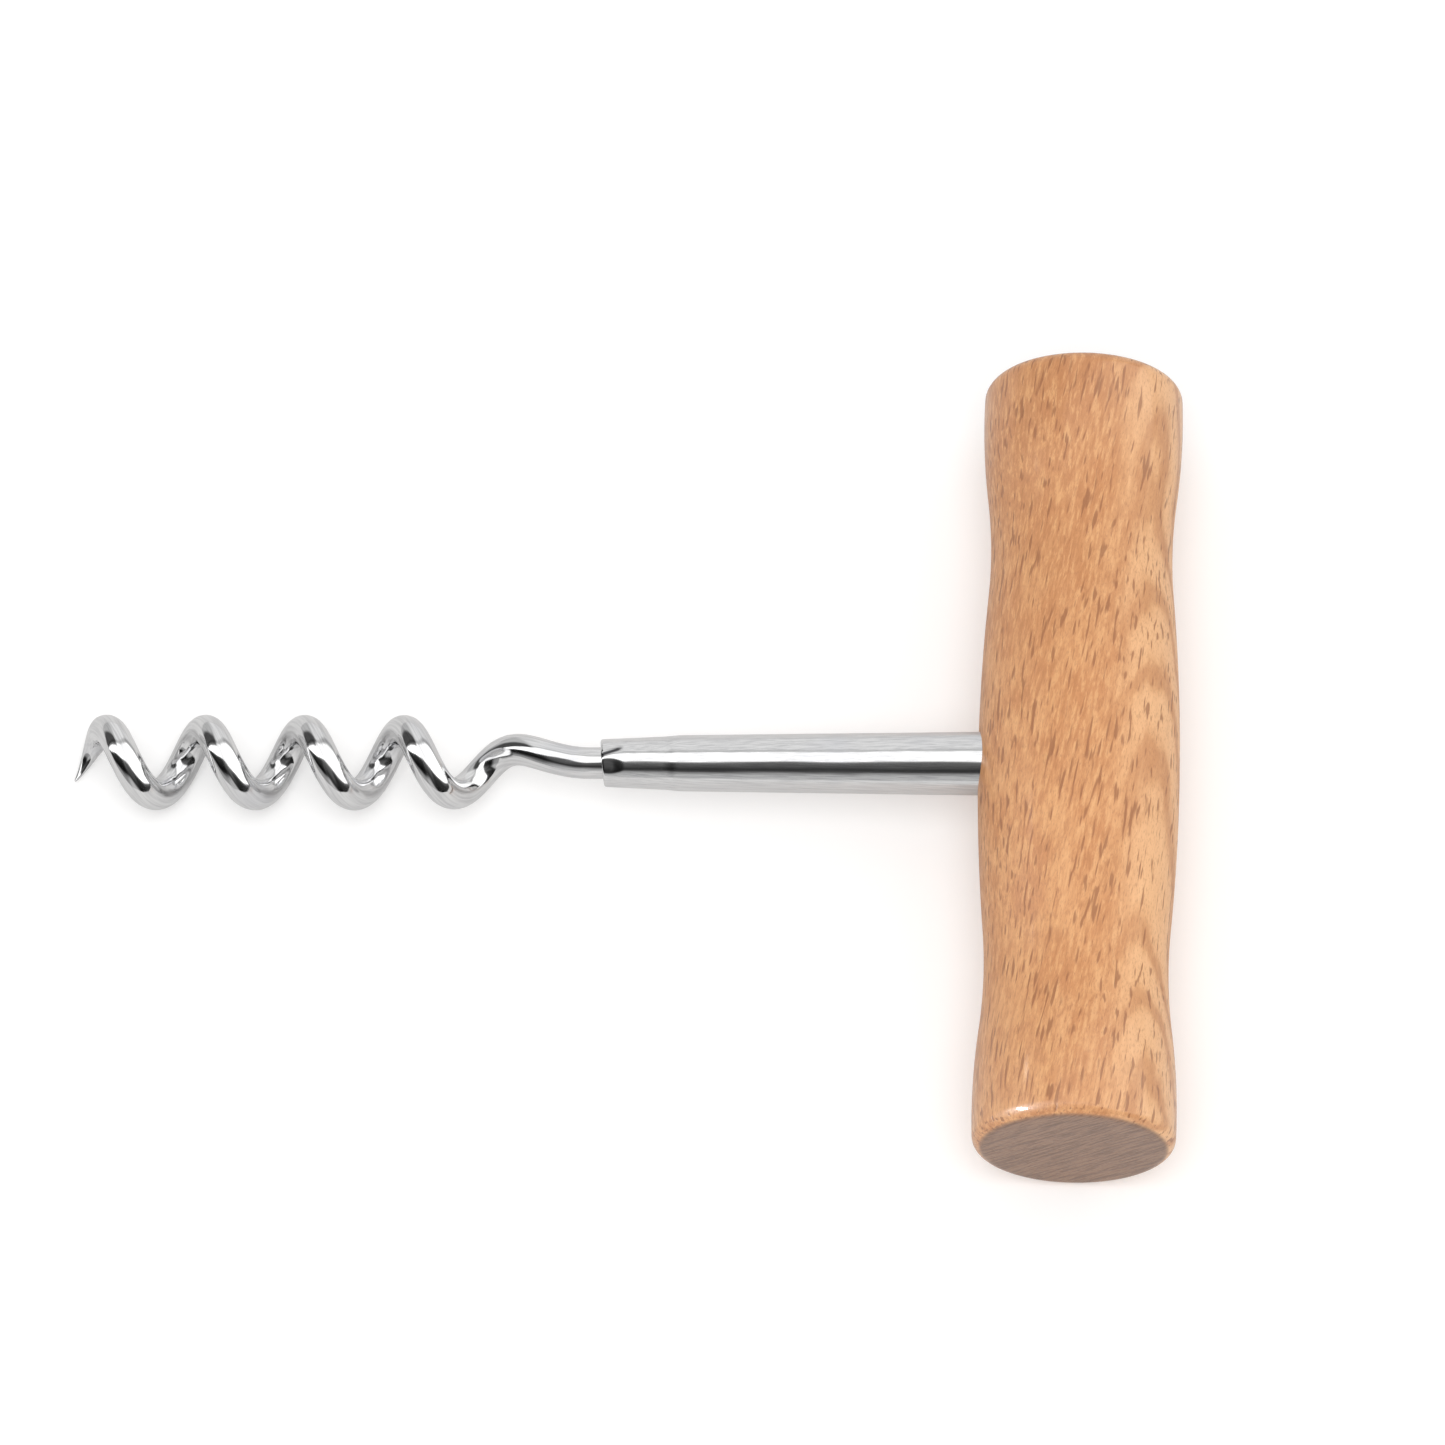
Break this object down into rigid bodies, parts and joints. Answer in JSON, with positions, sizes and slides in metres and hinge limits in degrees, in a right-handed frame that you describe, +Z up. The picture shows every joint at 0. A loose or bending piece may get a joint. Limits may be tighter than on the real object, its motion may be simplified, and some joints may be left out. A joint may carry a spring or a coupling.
{
  "type": "t handle corkscrew",
  "caption": "Turned beech handle with a steel shank at its middle that ends in a wound wire worm with a sharp point, for drawing corks.",
  "frame": {"origin": "on the floor under the middle of the bounding box, with the corkscrew lying on the side of its handle and one turn of its worm", "axes": "+X from the tip of the worm towards the handle, +Y along the handle, +Z up"},
  "size_m": [0.1048, 0.078, 0.019],
  "materials": {
    "beech": "satin clear lacquer over turned beech",
    "bright_tube": "polished, nickel plated",
    "bright_wire": "polished, nickel plated"
  },
  "bodies": {
    "root": {"handle": "beech", "tube": "bright_tube", "worm": "bright_wire"}
  },
  "joints": []
}
